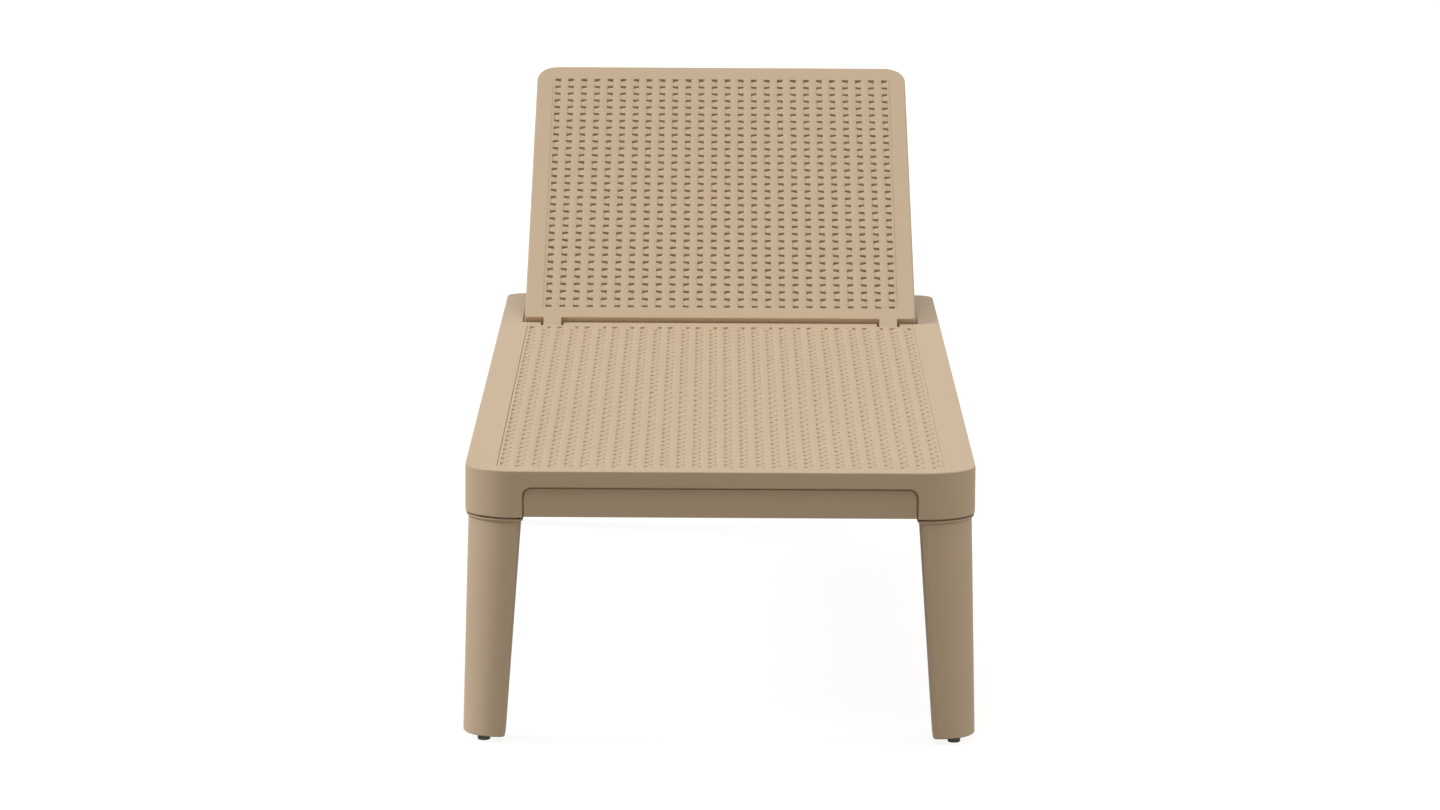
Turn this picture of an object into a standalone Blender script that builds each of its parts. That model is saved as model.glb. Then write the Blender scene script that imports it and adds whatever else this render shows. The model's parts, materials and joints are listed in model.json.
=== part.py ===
"""Adjustable sun lounger: a moulded deck on four plug-in legs, with a backrest that a hinged bail props up.

Metres, +Z up. The foot end faces -Y and the head end +Y. The origin is on the floor, under the middle of the
box round the lounger with its backrest at the photographed angle. Pieces of the deck are drawn in deck
coordinates: x across, y back from the foot edge, z up from the top face. Pieces of the backrest are drawn
about the hinge axis: y along the panel, z up from it. Left is -X.
"""

import math

import bmesh
import bpy
from mathutils import Matrix, Vector

# Fits
SEAT_GAP = 0.0003  # between two pieces that rest on each other
RUNNING_GAP = 0.0004  # round a shaft that turns in a bore
SCREW_GAP = 0.0004  # round a screw's shank
OVERRUN = 0.005  # how far a cutter passes the face that it cuts
OVERLAP = 0.001  # how far a joined shape reaches into its neighbour

# Deck
DECK_WIDTH = 0.670
DECK_LENGTH = 1.611
DECK_HEIGHT = 0.365
FRONT_RADIUS = 0.065
REAR_RADIUS = 0.027
TOP_ROUND = 0.003
SKIRT_DEPTH = 0.062
SKIRT_FLARE = 0.002
SKIRT_WALL = 0.0075
PLATE = 0.004
FRONT_PLATE = 0.0075

# Bay behind the seat, where the backrest lies when it is flat
BAY_LENGTH = 0.310
RAIL_WIDTH = 0.0315
RAIL_WALL = 0.004
BAY_RADIUS = 0.004

# Woven field of the seat, sunk so that its pattern can lie flush, with a shallow dish towards the foot end
WEAVE_BORDER = 0.040
WEAVE_SINK = 0.0012
DISH_DEPTH = 0.0083
DISH_LENGTH = 0.660

# Recessed panels of the skirt, between the corner blocks
RECESS_MARGIN = 0.075
RECESS_TOP = 0.0224
RECESS_DEPTH = 0.0028
RECESS_RADIUS = 0.012

# Ribs under the seat
RIB_WIDTH = 0.003
RIB_DEPTH = 0.025
LONG_RIB_DEPTH = 0.022
CROSS_RIBS = 7
LONG_RIBS = 3

# Leg sockets in the corner blocks
SOCKET_SIZE = 0.062
SOCKET_WALL = 0.0035
SOCKET_RADIUS = 0.004
SOCKET_FIT = 0.0006

# Legs
LEG_GAP = 0.0016
LEG_TOP_SIZE = 0.0705
LEG_FOOT_SIZE = 0.0567
LEG_TOP_INSET = 0.0023
LEG_FOOT_OUTSET = 0.0044
LEG_TOP_RADIUS = 0.061
LEG_FOOT_RADIUS = 0.050
REAR_LEG_TOP_RADIUS = 0.030
REAR_LEG_FOOT_RADIUS = 0.026
REAR_LEG_BACKSET = 0.0043  # how much narrower than the rail its top is
REAR_LEG_TAPER = 0.0075  # how much narrower its foot is than its top
LEG_EDGE_RADIUS = 0.006
LEG_WALL = 0.004
LEG_FLOOR = 0.012
COLLAR_OUTSET = 0.002
COLLAR_HEIGHT = 0.0022
COLLAR_CHAMFER = 0.003
FOOT_CHAMFER = 0.0012

# Glides under the legs
GLIDE_RADIUS = 0.0085
GLIDE_HEIGHT = 0.0085
GLIDE_CHAMFER = 0.001
GLIDE_STEM_RADIUS = 0.004
GLIDE_STEM_LENGTH = 0.009

# Backrest panel
BACK_ANGLE = math.radians(28.7)
BACK_LENGTH = 0.672
BACK_SIDE_GAP = 0.0022  # between its foot end and a rail
BACK_TAPER = 0.0061  # how much narrower its head end is
BACK_RADIUS = 0.034
BACK_FOOT_RADIUS = 0.005
RIM_DEPTH = 0.025
RIM_WALL = 0.004
BACK_RIB_DEPTH = 0.019
BACK_RIB_PITCH = 0.076
FIRST_BACK_RIB = 0.0841

# Hinge
HINGE_DROP = 0.0155
KNUCKLE_RADIUS = 0.014
KNUCKLE_GAP = 0.001
HINGE_TO_PANEL = 0.0262
LUG_INSET = 0.046  # from the rail's inner face to the lug's middle
LUG_WIDTH = 0.027
LUG_BELOW = 0.009
LUG_REACH = 0.020
SLOT_DEPTH = 0.027
SLOT_MARGIN = 0.004
SLOT_DROP = 0.037
CHEEK_WALL = 0.004
CHEEK_LENGTH = 0.039
CHEEK_DROP = 0.034
PIN_RADIUS = 0.0045
PIN_HEAD_RADIUS = 0.007
PIN_HEAD = 0.002
CLIP_RADIUS = 0.007
CLIP_LENGTH = 0.003
PIN_TAIL = 0.001

# Support bail, hinged on the rails, whose bar props the racks under the backrest
BAIL_SETBACK = 0.150
BAIL_BELOW_HINGE = 0.022
BAIL_REACH = 0.138
BAIL_RADIUS = 0.006
BAIL_INSET = 0.0575  # from the rail's inner face to the middle of an arm
BAIL_BEND = 0.018
BAIL_END_GAP = 0.0025
BAIL_TURN_PER_TILT = 2

# Bail brackets
BRACKET_LENGTH = 0.044
BRACKET_HEIGHT = 0.017
BRACKET_PLATE = 0.003
BRACKET_BOSS = 0.0107
BRACKET_BOSS_RADIUS = 0.0084
BRACKET_SCREW_SPREAD = 0.031

# Racks under the backrest
RACK_INSET = 0.1035  # from the rail's inner face to the rack's middle
RACK_WIDTH = 0.005
RACK_GAP = 0.0006
NOTCH_WIDTH = 0.016
NOTCH_HEIGHT = 0.004
NOTCH_TILTS = tuple(math.radians(tilt) for tilt in (0, 15, 28.7, 40, 50, 60))
RACK_TAIL = 0.018

# Rear crossbar
CROSSBAR_WIDTH = 0.022
CROSSBAR_HEIGHT = 0.026
CROSSBAR_DROP = 0.034
CROSSBAR_INSET = 0.002
CROSSBAR_WALL = 0.003

# Screws
SCREW_RADIUS = 0.002
SCREW_HEAD_RADIUS = 0.004
SCREW_HEAD = 0.0022
SCREW_SOCKET_RADIUS = 0.0015
SCREW_SOCKET_DEPTH = 0.001
LEG_SCREW_LENGTH = 0.014
LEG_SCREW_IN = 0.040
LEG_SCREW_RISE = 0.012
BRACKET_SCREW_LENGTH = 0.011
CROSSBAR_SCREW_LENGTH = 0.0063
CROSSBAR_SCREW_SPREAD = 0.011

# Shares and angles
WELD_SHARE = 0.0001  # of a size: points nearer than this are one
HEAD_TOP_SHARE = 0.7  # of a screw or pin head's radius: its flat top
LEAST_ROUND_SHARE = 0.3  # of a corner radius: the least that an inset leaves of it
LEAST_FLAT_SHARE = 0.008  # of a section's width: the straight edge left between two rounded corners
NOTCH_TOP_SHARE = 0.5  # of a notch's width: its flat top
SHADE_ANGLE = math.radians(35)
FLAT_ANGLE = math.radians(0.1)

# Facets
DISH_COLUMNS = 10
DISH_ROWS = 24
BIG_ARC_STEPS = 8
SMALL_ARC_STEPS = 2
PIN_SIDES = 16
SCREW_SIDES = 12
BEND_STEPS = 5
TUBE_RESOLUTION = 4
ROUND_SEGMENTS = 2

# Places that several pieces share
SEAM = DECK_LENGTH - BAY_LENGTH
BAY_HALF = DECK_WIDTH / 2 - RAIL_WIDTH
BACK_FOOT_WIDTH = 2 * (BAY_HALF - BACK_SIDE_GAP)
BACK_HEAD_WIDTH = BACK_FOOT_WIDTH - BACK_TAPER
LUG_CENTRE = BAY_HALF - LUG_INSET
BAIL_HALF_WIDTH = BAY_HALF - BAIL_INSET
RACK_CENTRE = BAY_HALF - RACK_INSET
HOLLOW_HALF = DECK_WIDTH / 2 - SKIRT_WALL
SOCKET_INNER = HOLLOW_HALF - SOCKET_SIZE
BLOCK_INNER = SOCKET_INNER - SOCKET_WALL
BLOCK_LENGTH = SKIRT_WALL + SOCKET_SIZE + SOCKET_WALL
RAIL_INNER = BAY_HALF + RAIL_WALL
LEG_TOP = -SKIRT_DEPTH - LEG_GAP
LEG_FOOT = -DECK_HEIGHT + GLIDE_HEIGHT + SEAT_GAP
HINGE_Y = SEAM - SLOT_DEPTH + KNUCKLE_GAP + KNUCKLE_RADIUS
PANEL_FACE = KNUCKLE_RADIUS
PANEL_BACK = PANEL_FACE - RIM_DEPTH
PANEL_UNDERSIDE = PANEL_FACE - PLATE
BAIL_Y = HINGE_Y + BAIL_SETBACK
BAIL_Z = -HINGE_DROP - BAIL_BELOW_HINGE
HEAD_REACH = (HINGE_TO_PANEL + BACK_LENGTH) * math.cos(BACK_ANGLE) - PANEL_BACK * math.sin(BACK_ANGLE)
MIDDLE_Y = (HINGE_Y + HEAD_REACH - LEG_FOOT_OUTSET) / 2
SIDES = (("left", -1), ("right", 1))
ENDS = ("front", "rear")

RESIN = ((0.60, 0.47, 0.33), 0.55, 0.0)
GREY_PLASTIC = ((0.075, 0.072, 0.070), 0.60, 0.0)
STEEL = ((0.55, 0.55, 0.56), 0.35, 1.0)
PAINTED_TUBE = ((0.55, 0.43, 0.30), 0.45, 0.0)


def clear_scene():
    for thing in list(bpy.data.objects):
        bpy.data.objects.remove(thing, do_unlink=True)


def new_collection(name):
    collection = bpy.data.collections.new(name)
    bpy.context.scene.collection.children.link(collection)
    return collection


def new_material(name, look):
    colour, roughness, metallic = look
    material = bpy.data.materials.new(name)
    material.use_nodes = True
    shader = material.node_tree.nodes["Principled BSDF"]
    shader.inputs["Base Color"].default_value = (*colour, 1)
    shader.inputs["Roughness"].default_value = roughness
    shader.inputs["Metallic"].default_value = metallic
    return material


def new_axis(name, location, tilt=0):
    """An empty on a joint's axis, which carries the pieces that turn about it."""
    axis = bpy.data.objects.new(name, None)
    parts.objects.link(axis)
    axis.location = location
    axis.rotation_euler = (tilt, 0, 0)
    return axis


def place(thing, parent, look=None):
    """Keeps an object as a part with its own material or, with no look, as a cutter."""
    thing.parent = parent
    (cutters if look is None else parts).objects.link(thing)
    if look is None:
        thing.hide_render = True
        thing.display_type = "WIRE"
        return thing
    thing.data.materials.clear()
    thing.data.materials.append(new_material(thing.name, look))
    thing.data.shade_smooth()
    thing.data.set_sharp_from_angle(angle=SHADE_ANGLE)
    return thing


def mesh_object(name, bm):
    bmesh.ops.recalc_face_normals(bm, faces=bm.faces)
    mesh = bpy.data.meshes.new(name)
    bm.to_mesh(mesh)
    bm.free()
    return bpy.data.objects.new(name, mesh)


def combine(target, other, operation):
    modifier = target.modifiers.new(other.name, "BOOLEAN")
    modifier.operation = operation
    modifier.object = other


def cut(target, cutter):
    combine(target, cutter, "DIFFERENCE")


def join(target, addition):
    combine(target, addition, "UNION")


def rounded(corners):
    """Points round an outline of corners, each given as x, y, radius and the steps of its arc."""
    points = []
    for index, (x, y, radius, steps) in enumerate(corners):
        corner = Vector((x, y))
        before = (Vector(corners[index - 1][:2]) - corner).normalized()
        after = (Vector(corners[(index + 1) % len(corners)][:2]) - corner).normalized()
        half = before.angle(after) / 2
        centre = corner + (before + after).normalized() * radius / math.sin(half)
        start = corner + before * radius / math.tan(half) - centre
        end = corner + after * radius / math.tan(half) - centre
        first = math.atan2(start.y, start.x)
        turn = (math.atan2(end.y, end.x) - first + math.pi) % math.tau - math.pi
        for step in range(steps + 1):
            angle = first + turn * step / steps
            points.append((centre.x + radius * math.cos(angle), centre.y + radius * math.sin(angle)))
    return points


def flat_solid(name, outline, low, high):
    """A bmesh of a flat outline in x and y, given thickness between two heights."""
    curve = bpy.data.curves.new(name, "CURVE")
    curve.dimensions = "2D"
    curve.fill_mode = "BOTH"
    curve.extrude = (high - low) / 2
    spline = curve.splines.new("POLY")
    spline.points.add(len(outline) - 1)
    for point, (x, y) in zip(spline.points, outline):
        point.co = (x, y, 0, 1)
    spline.use_cyclic_u = True
    drawing = bpy.data.objects.new(name + "_outline", curve)
    cutters.objects.link(drawing)
    graph = bpy.context.evaluated_depsgraph_get()
    mesh = bpy.data.meshes.new_from_object(drawing.evaluated_get(graph))
    bpy.data.objects.remove(drawing)
    bm = bmesh.new()
    bm.from_mesh(mesh)
    bpy.data.meshes.remove(mesh)
    bmesh.ops.remove_doubles(bm, verts=bm.verts, dist=DECK_WIDTH * WELD_SHARE)
    bmesh.ops.translate(bm, verts=bm.verts, vec=(0, 0, (low + high) / 2))
    return bm


def upright_solid(name, outline, low, high):
    """The same for an outline in y and z, given thickness between two places across."""
    bm = flat_solid(name, outline, low, high)
    turn = Matrix(((0, 0, 1, 0), (1, 0, 0, 0), (0, 1, 0, 0), (0, 0, 0, 1)))
    bmesh.ops.transform(bm, matrix=turn, verts=bm.verts)
    return bm


def mirrored_pair(bm):
    """Adds the twin of a solid on the other side of the middle plane."""
    twin = bmesh.ops.duplicate(bm, geom=bm.verts[:] + bm.edges[:] + bm.faces[:])["geom"]
    points = [item for item in twin if isinstance(item, bmesh.types.BMVert)]
    bmesh.ops.scale(bm, vec=(-1, 1, 1), verts=points)
    return bm


def add_box(bm, low, high):
    """Adds a box between two corners to a bmesh."""
    middle = [(a + b) / 2 for a, b in zip(low, high)]
    size = [b - a for a, b in zip(low, high)]
    matrix = Matrix.Translation(middle) @ Matrix.Diagonal((*size, 1))
    bmesh.ops.create_cube(bm, size=1, matrix=matrix)


def boxes(name, corners):
    bm = bmesh.new()
    for low, high in corners:
        add_box(bm, low, high)
    return mesh_object(name, bm)


def mirrored(low, high):
    """The box on the other side of the middle plane."""
    return (-high[0], low[1], low[2]), (-low[0], high[1], high[2])


def bore(name, radius, start, end, places, sides=PIN_SIDES):
    """Cylinders along x, between two distances from the middle, at each (side, y, z) of places."""
    bm = bmesh.new()
    for side, y, z in places:
        middle = Matrix.Translation((side * (start + end) / 2, y, z))
        matrix = middle @ Matrix.Rotation(math.pi / 2, 4, "Y")
        bmesh.ops.create_cone(bm, cap_ends=True, segments=sides, radius1=radius, radius2=radius,
                              depth=end - start, matrix=matrix)
    return mesh_object(name, bm)


def turned(name, profile, sides):
    """A turned shape about its own z axis: the profile lists radius and height down the outer side."""
    mesh = bpy.data.meshes.new(name)
    mesh.from_pydata([(radius, 0, height) for radius, height in profile],
                     [(i, i + 1) for i in range(len(profile) - 1)], [])
    thing = bpy.data.objects.new(name, mesh)
    screw = thing.modifiers.new("turn", "SCREW")
    screw.steps = sides
    screw.render_steps = sides
    screw.use_merge_vertices = True
    screw.merge_threshold = GLIDE_RADIUS * WELD_SHARE
    return thing


def loft(name, sections):
    """A closed solid through outlines of equal point count, each given as a height and its points."""
    bm = bmesh.new()
    rings = [[bm.verts.new((x, y, z)) for x, y in outline] for z, outline in sections]
    for upper, lower in zip(rings, rings[1:]):
        for i in range(len(upper)):
            bm.faces.new((upper[i - 1], upper[i], lower[i], lower[i - 1]))
    bm.faces.new(rings[0])
    bm.faces.new(rings[-1])
    split_quads(bm)
    return mesh_object(name, bm)


def split_quads(bm):
    """Halves the four-sided faces, which a taper or a flare leaves slightly twisted."""
    bmesh.ops.triangulate(bm, faces=[face for face in bm.faces if len(face.verts) == 4])


def edges_at(bm, height):
    near = DECK_WIDTH * WELD_SHARE
    return [edge for edge in bm.edges if all(abs(v.co.z - height) < near for v in edge.verts)]


def round_top(bm, height):
    """Rounds the edge of a flat solid's upper face."""
    bmesh.ops.dissolve_limit(bm, angle_limit=FLAT_ANGLE, verts=bm.verts, edges=bm.edges)
    bmesh.ops.bevel(bm, geom=edges_at(bm, height), offset=TOP_ROUND, segments=ROUND_SEGMENTS, affect="EDGES",
                    profile=0.5, material=-1, clamp_overlap=True)


# Seat frame


def deck_blank():
    """The deck's outer form: a block with the bay open at the head end and its skirt flared downwards."""
    half = DECK_WIDTH / 2
    outline = rounded([
        (-half, 0, FRONT_RADIUS, BIG_ARC_STEPS),
        (half, 0, FRONT_RADIUS, BIG_ARC_STEPS),
        (half, DECK_LENGTH, REAR_RADIUS, BIG_ARC_STEPS),
        (BAY_HALF, DECK_LENGTH, BAY_RADIUS, SMALL_ARC_STEPS),
        (BAY_HALF, SEAM, BAY_RADIUS, SMALL_ARC_STEPS),
        (-BAY_HALF, SEAM, BAY_RADIUS, SMALL_ARC_STEPS),
        (-BAY_HALF, DECK_LENGTH, BAY_RADIUS, SMALL_ARC_STEPS),
        (-half, DECK_LENGTH, REAR_RADIUS, BIG_ARC_STEPS),
    ])
    bm = flat_solid("seat_frame", outline, -SKIRT_DEPTH, 0)
    round_top(bm, 0)
    spread = 1 + 2 * SKIRT_FLARE / DECK_WIDTH
    stretch = 1 + 2 * SKIRT_FLARE / DECK_LENGTH
    for edge in edges_at(bm, -SKIRT_DEPTH):
        for vertex in edge.verts:
            vertex.tag = True
    for vertex in bm.verts:
        if not vertex.tag:
            continue
        x, y = vertex.co.x, vertex.co.y
        if abs(x) > BAY_HALF + BAY_RADIUS:
            vertex.co.x = x * spread
        if y < SEAM - BAY_RADIUS or y > DECK_LENGTH - REAR_RADIUS:
            vertex.co.y = DECK_LENGTH / 2 + (y - DECK_LENGTH / 2) * stretch
    split_quads(bm)
    return mesh_object("seat_frame", bm)


def socket_outline(end, side, clearance):
    """The hole in a corner block that a leg's spigot fills, or with a clearance the spigot itself."""
    outer_radius = (FRONT_RADIUS if end == "front" else REAR_RADIUS) - SKIRT_WALL - clearance
    inner_radius = max(SOCKET_RADIUS - clearance, SOCKET_RADIUS * LEAST_ROUND_SHARE)
    near = SKIRT_WALL + clearance
    far = SKIRT_WALL + SOCKET_SIZE - clearance
    return corner_outline(end, side, HOLLOW_HALF - clearance, socket_inner(end) + clearance, near, far,
                          outer_radius, inner_radius)


def socket_inner(end):
    """How far from the middle a socket's inner wall stands: the rear ones lie inside the narrow rails."""
    return SOCKET_INNER if end == "front" else RAIL_INNER


def screw_seat(end):
    """The face that a leg screw's head rests on, as a distance from the middle."""
    return BLOCK_INNER if end == "front" else BAY_HALF


def corner_outline(end, side, outer, inner, near, far, outer_radius, inner_radius):
    """A square with one rounder corner, which faces outwards at the deck's corner of that end and side.

    outer and inner are distances from the middle plane, near and far are distances from the end's edge.
    """
    most = (outer - inner) * (1 - LEAST_FLAT_SHARE) - inner_radius
    outer_radius = min(outer_radius, most)
    corners = [
        (outer, near, outer_radius, BIG_ARC_STEPS),
        (outer, far, inner_radius, SMALL_ARC_STEPS),
        (inner, far, inner_radius, SMALL_ARC_STEPS),
        (inner, near, inner_radius, SMALL_ARC_STEPS),
    ]
    return [(side * x, y if end == "front" else DECK_LENGTH - y) for x, y in rounded(corners)]


def dish(x, y):
    """How far the seat lies below the plane of its border."""
    across = x / (DECK_WIDTH / 2 - WEAVE_BORDER)
    along = (y - WEAVE_BORDER) / DISH_LENGTH
    if abs(across) > 1 or not 0 < along < 1:
        return 0
    return DISH_DEPTH * (1 - across ** 2) * math.sin(math.pi * along)


def dished_solid(name, half, front, rear, low, high, dished):
    """A block over part of the seat; its face at the dished height follows the dish."""
    bm = bmesh.new()
    middle = Matrix.Translation((0, (front + rear) / 2, low))
    matrix = middle @ Matrix.Diagonal((half, (rear - front) / 2, 1, 1))
    bmesh.ops.create_grid(bm, x_segments=DISH_COLUMNS, y_segments=DISH_ROWS, size=1, matrix=matrix)
    faces = bmesh.ops.extrude_face_region(bm, geom=bm.faces[:])["geom"]
    raised = [item for item in faces if isinstance(item, bmesh.types.BMVert)]
    bmesh.ops.translate(bm, verts=raised, vec=(0, 0, high - low))
    for vertex in raised if dished == high else set(bm.verts) - set(raised):
        vertex.co.z -= dish(vertex.co.x, vertex.co.y)
    split_quads(bm)
    return mesh_object(name, bm)


def hollow_seat(frame):
    """Cuts the hollow under the seat, then its narrower front end between the corner blocks."""
    foot = -SKIRT_DEPTH - OVERRUN
    hollow = dished_solid("seat_hollow", HOLLOW_HALF, BLOCK_LENGTH, SEAM - RAIL_WALL, foot, -PLATE, -PLATE)
    cut(frame, place(hollow, deck))
    low = (-BLOCK_INNER, SKIRT_WALL, foot)
    high = (BLOCK_INNER, BLOCK_LENGTH + OVERRUN, -FRONT_PLATE)
    cut(frame, place(boxes("front_hollow", [(low, high)]), deck))


def hollow_rails(frame):
    """Hollows each rail from the seat back to the wall in front of its leg's socket."""
    outline = rounded([
        (RAIL_INNER, SEAM + RAIL_WALL, SOCKET_RADIUS, SMALL_ARC_STEPS),
        (HOLLOW_HALF, SEAM + RAIL_WALL, SOCKET_RADIUS, SMALL_ARC_STEPS),
        (HOLLOW_HALF, DECK_LENGTH - BLOCK_LENGTH, SOCKET_RADIUS, SMALL_ARC_STEPS),
        (RAIL_INNER, DECK_LENGTH - BLOCK_LENGTH, SOCKET_RADIUS, SMALL_ARC_STEPS),
    ])
    bm = mirrored_pair(flat_solid("rail_hollows", outline, -SKIRT_DEPTH - OVERRUN, -PLATE))
    cut(frame, place(mesh_object("rail_hollows", bm), deck))


def cut_sockets(frame):
    for end in ENDS:
        outline = socket_outline(end, 1, 0)
        bm = flat_solid(end + "_sockets", outline, -SKIRT_DEPTH - OVERRUN, -PLATE)
        cut(frame, place(mesh_object(end + "_sockets", mirrored_pair(bm)), deck))


def add_ribs(frame):
    """Cross ribs and long ribs under the seat, joined to the plate and to the walls; the dish trims them."""
    top = -PLATE + OVERLAP
    bottom = -PLATE - RIB_DEPTH
    first, last = BLOCK_LENGTH, SEAM - CHEEK_LENGTH
    cross = []
    for index in range(CROSS_RIBS):
        y = first + (last - first) * (index + 0.5) / CROSS_RIBS
        half = HOLLOW_HALF + OVERLAP
        cross.append(((-half, y - RIB_WIDTH / 2, bottom), (half, y + RIB_WIDTH / 2, top)))
    join(frame, place(boxes("cross_ribs", cross), deck))
    along = []
    for index in range(LONG_RIBS):
        x = BLOCK_INNER * (2 * (index + 1) / (LONG_RIBS + 1) - 1)
        along.append(((x - RIB_WIDTH / 2, SKIRT_WALL - OVERLAP, -PLATE - LONG_RIB_DEPTH),
                      (x + RIB_WIDTH / 2, SEAM - RAIL_WALL + OVERLAP, -PLATE + OVERLAP / 2)))
    join(frame, place(boxes("long_ribs", along), deck))


def add_cheeks(frame):
    """Plates on both sides of each hinge slot, which carry the pin."""
    inner = LUG_CENTRE - LUG_WIDTH / 2 - SLOT_MARGIN
    outer = LUG_CENTRE + LUG_WIDTH / 2 + SLOT_MARGIN
    cheeks = []
    for x in (inner - CHEEK_WALL - OVERLAP / 2, outer + OVERLAP / 2):
        low = (x, SEAM - CHEEK_LENGTH, -CHEEK_DROP)
        high = (x + CHEEK_WALL, SEAM - RAIL_WALL + OVERLAP, -PLATE + OVERLAP)
        cheeks += [(low, high), mirrored(low, high)]
    join(frame, place(boxes("hinge_cheeks", cheeks), deck))
    low = (inner, SEAM - SLOT_DEPTH, -SLOT_DROP)
    high = (outer, SEAM + OVERRUN, OVERRUN)
    cut(frame, place(boxes("hinge_slots", [(low, high), mirrored(low, high)]), deck))
    places = [(side, HINGE_Y, -HINGE_DROP) for _, side in SIDES]
    start = inner - CHEEK_WALL - OVERRUN
    end = outer + CHEEK_WALL + OVERRUN
    holes = bore("hinge_bores", PIN_RADIUS + RUNNING_GAP, start, end, places)
    cut(frame, place(holes, deck))


def recess_outline(half, centre):
    """The upper edge of a recess with rounded corners; it runs out below the skirt."""
    foot = -SKIRT_DEPTH - OVERRUN
    return rounded([
        (centre - half, foot, OVERLAP, 1),
        (centre + half, foot, OVERLAP, 1),
        (centre + half, -RECESS_TOP, RECESS_RADIUS, SMALL_ARC_STEPS * 2),
        (centre - half, -RECESS_TOP, RECESS_RADIUS, SMALL_ARC_STEPS * 2),
    ])


def cut_recesses(frame):
    """The shallow panel on the front of the skirt and the long ones on its sides."""
    half = DECK_WIDTH / 2 - RECESS_MARGIN
    bm = flat_solid("front_recess", recess_outline(half, 0), -RECESS_DEPTH, SKIRT_FLARE + OVERRUN)
    bmesh.ops.rotate(bm, cent=(0, 0, 0), matrix=Matrix.Rotation(math.pi / 2, 3, "X"), verts=bm.verts)
    cut(frame, place(mesh_object("front_recess", bm), deck))
    half = DECK_LENGTH / 2 - RECESS_MARGIN
    face = DECK_WIDTH / 2 - RECESS_DEPTH
    bm = upright_solid("side_recesses", recess_outline(half, DECK_LENGTH / 2), face,
                       DECK_WIDTH / 2 + SKIRT_FLARE + OVERRUN)
    cut(frame, place(mesh_object("side_recesses", mirrored_pair(bm)), deck))


def sink_weave(frame):
    half = DECK_WIDTH / 2 - WEAVE_BORDER
    field = dished_solid("weave_field", half, WEAVE_BORDER, SEAM - WEAVE_BORDER, -WEAVE_SINK, OVERRUN,
                         -WEAVE_SINK)
    cut(frame, place(field, deck))


def leg_screw_place(end):
    y = LEG_SCREW_IN if end == "front" else DECK_LENGTH - LEG_SCREW_IN
    return y, -SKIRT_DEPTH + LEG_SCREW_RISE


def bracket_screw_places():
    half = BRACKET_SCREW_SPREAD / 2
    return [("front", BAIL_Y - half, BAIL_Z), ("rear", BAIL_Y + half, BAIL_Z)]


def crossbar_screw_places():
    y = DECK_LENGTH - CROSSBAR_INSET - CROSSBAR_WIDTH / 2
    middle = -CROSSBAR_DROP - CROSSBAR_WALL / 2 - CROSSBAR_HEIGHT / 2
    half = CROSSBAR_SCREW_SPREAD / 2
    return [("lower", y, middle - half), ("upper", y, middle + half)]


def drill_frame(frame):
    """The holes that the legs', the bail brackets' and the crossbar's screws pass through."""
    radius = SCREW_RADIUS + SCREW_GAP
    for end in ENDS:
        legs = [(side, *leg_screw_place(end)) for _, side in SIDES]
        start = screw_seat(end) - OVERRUN
        stop = socket_inner(end) + OVERRUN
        holes = bore(end + "_leg_screw_holes", radius, start, stop, legs, SCREW_SIDES)
        cut(frame, place(holes, deck))
    brackets = [(side, y, z) for _, side in SIDES for _, y, z in bracket_screw_places()]
    holes = bore("bracket_screw_holes", radius, BAY_HALF - OVERRUN, BAY_HALF + RAIL_WALL + OVERRUN, brackets,
                 SCREW_SIDES)
    cut(frame, place(holes, deck))
    crossbar = [(side, y, z) for _, side in SIDES for _, y, z in crossbar_screw_places()]
    holes = bore("crossbar_screw_holes", radius, BAY_HALF - OVERRUN, RAIL_INNER + OVERRUN, crossbar,
                 SCREW_SIDES)
    cut(frame, place(holes, deck))


def make_seat_frame():
    frame = place(deck_blank(), deck, RESIN)
    hollow_seat(frame)
    hollow_rails(frame)
    cut_sockets(frame)
    add_ribs(frame)
    add_cheeks(frame)
    cut_recesses(frame)
    sink_weave(frame)
    drill_frame(frame)


# Legs, glides and their screws


def leg_width(end, down_share):
    """How wide a leg is across the lounger; the rear ones are as narrow as the rails above them."""
    if end == "front":
        return LEG_TOP_SIZE + (LEG_FOOT_SIZE - LEG_TOP_SIZE) * down_share
    return RAIL_WIDTH - REAR_LEG_BACKSET - REAR_LEG_TAPER * down_share


def leg_outline(end, side, down_share, outset):
    """The leg's section at a share of its height down from its top, grown outwards by an outset."""
    inset = LEG_TOP_INSET + (-LEG_FOOT_OUTSET - LEG_TOP_INSET) * down_share - outset
    width = leg_width(end, down_share) + 2 * outset
    length = LEG_TOP_SIZE + (LEG_FOOT_SIZE - LEG_TOP_SIZE) * down_share + 2 * outset
    top_radius, foot_radius = {
        "front": (LEG_TOP_RADIUS, LEG_FOOT_RADIUS),
        "rear": (REAR_LEG_TOP_RADIUS, REAR_LEG_FOOT_RADIUS),
    }[end]
    radius = top_radius + (foot_radius - top_radius) * down_share + outset
    outer = DECK_WIDTH / 2 - inset
    return corner_outline(end, side, outer, outer - width, inset, inset + length, radius,
                          max(LEG_EDGE_RADIUS + outset, LEG_EDGE_RADIUS * LEAST_ROUND_SHARE))


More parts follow.
